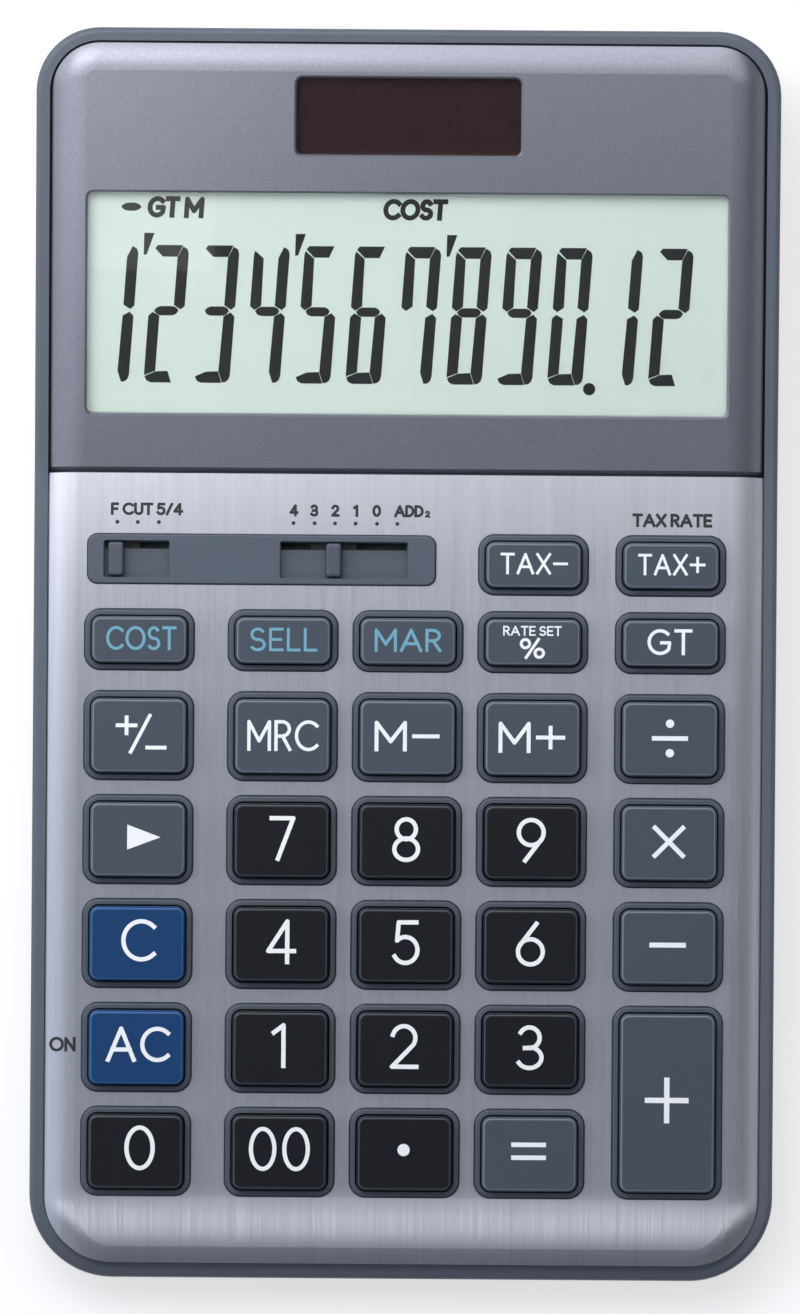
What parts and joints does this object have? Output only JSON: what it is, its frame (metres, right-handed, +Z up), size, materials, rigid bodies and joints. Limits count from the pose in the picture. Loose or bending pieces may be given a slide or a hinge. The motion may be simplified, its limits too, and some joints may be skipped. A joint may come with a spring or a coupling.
{
  "type": "desktop calculator",
  "caption": "Slim desktop calculator with a raised sloping display, solar window, slide switches, raised keys in collars and a brushed keypad plate.",
  "frame": {"origin": "on the surface the calculator stands on, under the middle of its body", "axes": "+Z up; +Y from the user's edge to the display end; +X to the user's right"},
  "size_m": [0.106, 0.1772, 0.0271],
  "materials": {
    "case_plastic": "satin slate grey ABS",
    "panel_paint": "satin metallic grey paint",
    "brushed_plate": "vertically brushed, clear anodised",
    "clear_window": "clear acrylic",
    "lcd_glass": "pale green reflective LCD",
    "holder_plastic": "black moulded plastic",
    "ribbon_film": "amber flexible film",
    "solar_window": "smoked clear acrylic",
    "solar_cell": "dark brown amorphous cell",
    "wire_sleeve": "thin insulated wire",
    "bezel_plastic": "satin slate grey ABS",
    "key_rubber": "moulded silicone",
    "board_laminate": "laminate board under dark solder mask",
    "chip_resin": "black resin cap",
    "screw_steel": "zinc-plated steel",
    "cell_steel": "nickel-plated can",
    "contact_metal": "plated spring metal",
    "foot_rubber": "matt black rubber",
    "slider_plastic": "satin slate grey ABS",
    "key_slate": "satin slate grey-blue key plastic",
    "key_black": "satin black key plastic",
    "key_blue": "satin blue key plastic"
  },
  "bodies": {
    "case": {"bottom_case": "case_plastic", "top_case": "case_plastic", "display_panel": "panel_paint", "keypad_plate": "brushed_plate", "lcd_window": "clear_window", "lcd_glass": "lcd_glass", "lcd_holder": "holder_plastic", "lcd_ribbon": "ribbon_film", "solar_window": "solar_window", "solar_cell": "solar_cell", "power_leads": "wire_sleeve", "switch_bezel": "bezel_plastic", "rubber_key_mat": "key_rubber", "rubber_domes": "key_rubber", "main_board": "board_laminate", "controller_chip": "chip_resin", "board_screws": "screw_steel", "case_screws": "screw_steel", "button_cell": "cell_steel", "battery_contacts": "contact_metal", "battery_cover": "case_plastic", "battery_cover_screw": "screw_steel", "rubber_feet": "foot_rubber"},
    "rounding_switch": {"rounding_slider": "slider_plastic", "rounding_wiper": "contact_metal"},
    "decimal_switch": {"decimal_slider": "slider_plastic", "decimal_wiper": "contact_metal"},
    "tax_minus_key": {"key_tax_minus": "key_slate"},
    "tax_plus_key": {"key_tax_plus": "key_slate"},
    "cost_key": {"key_cost": "key_slate"},
    "sell_key": {"key_sell": "key_slate"},
    "margin_key": {"key_margin": "key_slate"},
    "percent_key": {"key_percent": "key_slate"},
    "grand_total_key": {"key_grand_total": "key_slate"},
    "sign_key": {"key_sign": "key_slate"},
    "memory_recall_key": {"key_memory_recall": "key_slate"},
    "memory_minus_key": {"key_memory_minus": "key_slate"},
    "memory_plus_key": {"key_memory_plus": "key_slate"},
    "divide_key": {"key_divide": "key_slate"},
    "backspace_key": {"key_backspace": "key_slate"},
    "seven_key": {"key_seven": "key_black"},
    "eight_key": {"key_eight": "key_black"},
    "nine_key": {"key_nine": "key_black"},
    "multiply_key": {"key_multiply": "key_slate"},
    "clear_key": {"key_clear": "key_blue"},
    "four_key": {"key_four": "key_black"},
    "five_key": {"key_five": "key_black"},
    "six_key": {"key_six": "key_black"},
    "minus_key": {"key_minus": "key_slate"},
    "all_clear_key": {"key_all_clear": "key_blue"},
    "one_key": {"key_one": "key_black"},
    "two_key": {"key_two": "key_black"},
    "three_key": {"key_three": "key_black"},
    "zero_key": {"key_zero": "key_black"},
    "double_zero_key": {"key_double_zero": "key_black"},
    "point_key": {"key_point": "key_black"},
    "equals_key": {"key_equals": "key_slate"},
    "plus_key": {"key_plus": "key_slate"}
  },
  "joints": [
    {"name": "rounding_slide", "type": "slide", "parent": "case", "child": "rounding_switch", "axis": [1, 0, 0], "range_m": [0, 0.0059]},
    {"name": "decimal_slide", "type": "slide", "parent": "case", "child": "decimal_switch", "axis": [1, 0, 0], "range_m": [-0.0059, 0.00885]},
    {"name": "tax_minus_press", "type": "slide", "parent": "case", "child": "tax_minus_key", "axis": [0, 0.061, -0.9981], "range_m": [0, 0.0015], "stiffness_N_per_m": 400, "springref_m": -0.0003, "deforming": ["rubber_domes"]},
    {"name": "tax_plus_press", "type": "slide", "parent": "case", "child": "tax_plus_key", "axis": [0, 0.061, -0.9981], "range_m": [0, 0.0015], "stiffness_N_per_m": 400, "springref_m": -0.0003, "deforming": ["rubber_domes"]},
    {"name": "cost_press", "type": "slide", "parent": "case", "child": "cost_key", "axis": [0, 0.061, -0.9981], "range_m": [0, 0.0015], "stiffness_N_per_m": 400, "springref_m": -0.0003, "deforming": ["rubber_domes"]},
    {"name": "sell_press", "type": "slide", "parent": "case", "child": "sell_key", "axis": [0, 0.061, -0.9981], "range_m": [0, 0.0015], "stiffness_N_per_m": 400, "springref_m": -0.0003, "deforming": ["rubber_domes"]},
    {"name": "margin_press", "type": "slide", "parent": "case", "child": "margin_key", "axis": [0, 0.061, -0.9981], "range_m": [0, 0.0015], "stiffness_N_per_m": 400, "springref_m": -0.0003, "deforming": ["rubber_domes"]},
    {"name": "percent_press", "type": "slide", "parent": "case", "child": "percent_key", "axis": [0, 0.061, -0.9981], "range_m": [0, 0.0015], "stiffness_N_per_m": 400, "springref_m": -0.0003, "deforming": ["rubber_domes"]},
    {"name": "grand_total_press", "type": "slide", "parent": "case", "child": "grand_total_key", "axis": [0, 0.061, -0.9981], "range_m": [0, 0.0015], "stiffness_N_per_m": 400, "springref_m": -0.0003, "deforming": ["rubber_domes"]},
    {"name": "sign_press", "type": "slide", "parent": "case", "child": "sign_key", "axis": [0, 0.061, -0.9981], "range_m": [0, 0.0015], "stiffness_N_per_m": 400, "springref_m": -0.0003, "deforming": ["rubber_domes"]},
    {"name": "memory_recall_press", "type": "slide", "parent": "case", "child": "memory_recall_key", "axis": [0, 0.061, -0.9981], "range_m": [0, 0.0015], "stiffness_N_per_m": 400, "springref_m": -0.0003, "deforming": ["rubber_domes"]},
    {"name": "memory_minus_press", "type": "slide", "parent": "case", "child": "memory_minus_key", "axis": [0, 0.061, -0.9981], "range_m": [0, 0.0015], "stiffness_N_per_m": 400, "springref_m": -0.0003, "deforming": ["rubber_domes"]},
    {"name": "memory_plus_press", "type": "slide", "parent": "case", "child": "memory_plus_key", "axis": [0, 0.061, -0.9981], "range_m": [0, 0.0015], "stiffness_N_per_m": 400, "springref_m": -0.0003, "deforming": ["rubber_domes"]},
    {"name": "divide_press", "type": "slide", "parent": "case", "child": "divide_key", "axis": [0, 0.061, -0.9981], "range_m": [0, 0.0015], "stiffness_N_per_m": 400, "springref_m": -0.0003, "deforming": ["rubber_domes"]},
    {"name": "backspace_press", "type": "slide", "parent": "case", "child": "backspace_key", "axis": [0, 0.061, -0.9981], "range_m": [0, 0.0015], "stiffness_N_per_m": 400, "springref_m": -0.0003, "deforming": ["rubber_domes"]},
    {"name": "seven_press", "type": "slide", "parent": "case", "child": "seven_key", "axis": [0, 0.061, -0.9981], "range_m": [0, 0.0015], "stiffness_N_per_m": 400, "springref_m": -0.0003, "deforming": ["rubber_domes"]},
    {"name": "eight_press", "type": "slide", "parent": "case", "child": "eight_key", "axis": [0, 0.061, -0.9981], "range_m": [0, 0.0015], "stiffness_N_per_m": 400, "springref_m": -0.0003, "deforming": ["rubber_domes"]},
    {"name": "nine_press", "type": "slide", "parent": "case", "child": "nine_key", "axis": [0, 0.061, -0.9981], "range_m": [0, 0.0015], "stiffness_N_per_m": 400, "springref_m": -0.0003, "deforming": ["rubber_domes"]},
    {"name": "multiply_press", "type": "slide", "parent": "case", "child": "multiply_key", "axis": [0, 0.061, -0.9981], "range_m": [0, 0.0015], "stiffness_N_per_m": 400, "springref_m": -0.0003, "deforming": ["rubber_domes"]},
    {"name": "clear_press", "type": "slide", "parent": "case", "child": "clear_key", "axis": [0, 0.061, -0.9981], "range_m": [0, 0.0015], "stiffness_N_per_m": 400, "springref_m": -0.0003, "deforming": ["rubber_domes"]},
    {"name": "four_press", "type": "slide", "parent": "case", "child": "four_key", "axis": [0, 0.061, -0.9981], "range_m": [0, 0.0015], "stiffness_N_per_m": 400, "springref_m": -0.0003, "deforming": ["rubber_domes"]},
    {"name": "five_press", "type": "slide", "parent": "case", "child": "five_key", "axis": [0, 0.061, -0.9981], "range_m": [0, 0.0015], "stiffness_N_per_m": 400, "springref_m": -0.0003, "deforming": ["rubber_domes"]},
    {"name": "six_press", "type": "slide", "parent": "case", "child": "six_key", "axis": [0, 0.061, -0.9981], "range_m": [0, 0.0015], "stiffness_N_per_m": 400, "springref_m": -0.0003, "deforming": ["rubber_domes"]},
    {"name": "minus_press", "type": "slide", "parent": "case", "child": "minus_key", "axis": [0, 0.061, -0.9981], "range_m": [0, 0.0015], "stiffness_N_per_m": 400, "springref_m": -0.0003, "deforming": ["rubber_domes"]},
    {"name": "all_clear_press", "type": "slide", "parent": "case", "child": "all_clear_key", "axis": [0, 0.061, -0.9981], "range_m": [0, 0.0015], "stiffness_N_per_m": 400, "springref_m": -0.0003, "deforming": ["rubber_domes"]},
    {"name": "one_press", "type": "slide", "parent": "case", "child": "one_key", "axis": [0, 0.061, -0.9981], "range_m": [0, 0.0015], "stiffness_N_per_m": 400, "springref_m": -0.0003, "deforming": ["rubber_domes"]},
    {"name": "two_press", "type": "slide", "parent": "case", "child": "two_key", "axis": [0, 0.061, -0.9981], "range_m": [0, 0.0015], "stiffness_N_per_m": 400, "springref_m": -0.0003, "deforming": ["rubber_domes"]},
    {"name": "three_press", "type": "slide", "parent": "case", "child": "three_key", "axis": [0, 0.061, -0.9981], "range_m": [0, 0.0015], "stiffness_N_per_m": 400, "springref_m": -0.0003, "deforming": ["rubber_domes"]},
    {"name": "zero_press", "type": "slide", "parent": "case", "child": "zero_key", "axis": [0, 0.061, -0.9981], "range_m": [0, 0.0015], "stiffness_N_per_m": 400, "springref_m": -0.0003, "deforming": ["rubber_domes"]},
    {"name": "double_zero_press", "type": "slide", "parent": "case", "child": "double_zero_key", "axis": [0, 0.061, -0.9981], "range_m": [0, 0.0015], "stiffness_N_per_m": 400, "springref_m": -0.0003, "deforming": ["rubber_domes"]},
    {"name": "point_press", "type": "slide", "parent": "case", "child": "point_key", "axis": [0, 0.061, -0.9981], "range_m": [0, 0.0015], "stiffness_N_per_m": 400, "springref_m": -0.0003, "deforming": ["rubber_domes"]},
    {"name": "equals_press", "type": "slide", "parent": "case", "child": "equals_key", "axis": [0, 0.061, -0.9981], "range_m": [0, 0.0015], "stiffness_N_per_m": 400, "springref_m": -0.0003, "deforming": ["rubber_domes"]},
    {"name": "plus_press", "type": "slide", "parent": "case", "child": "plus_key", "axis": [0, 0.061, -0.9981], "range_m": [0, 0.0015], "stiffness_N_per_m": 400, "springref_m": -0.0003, "deforming": ["rubber_domes"]}
  ]
}
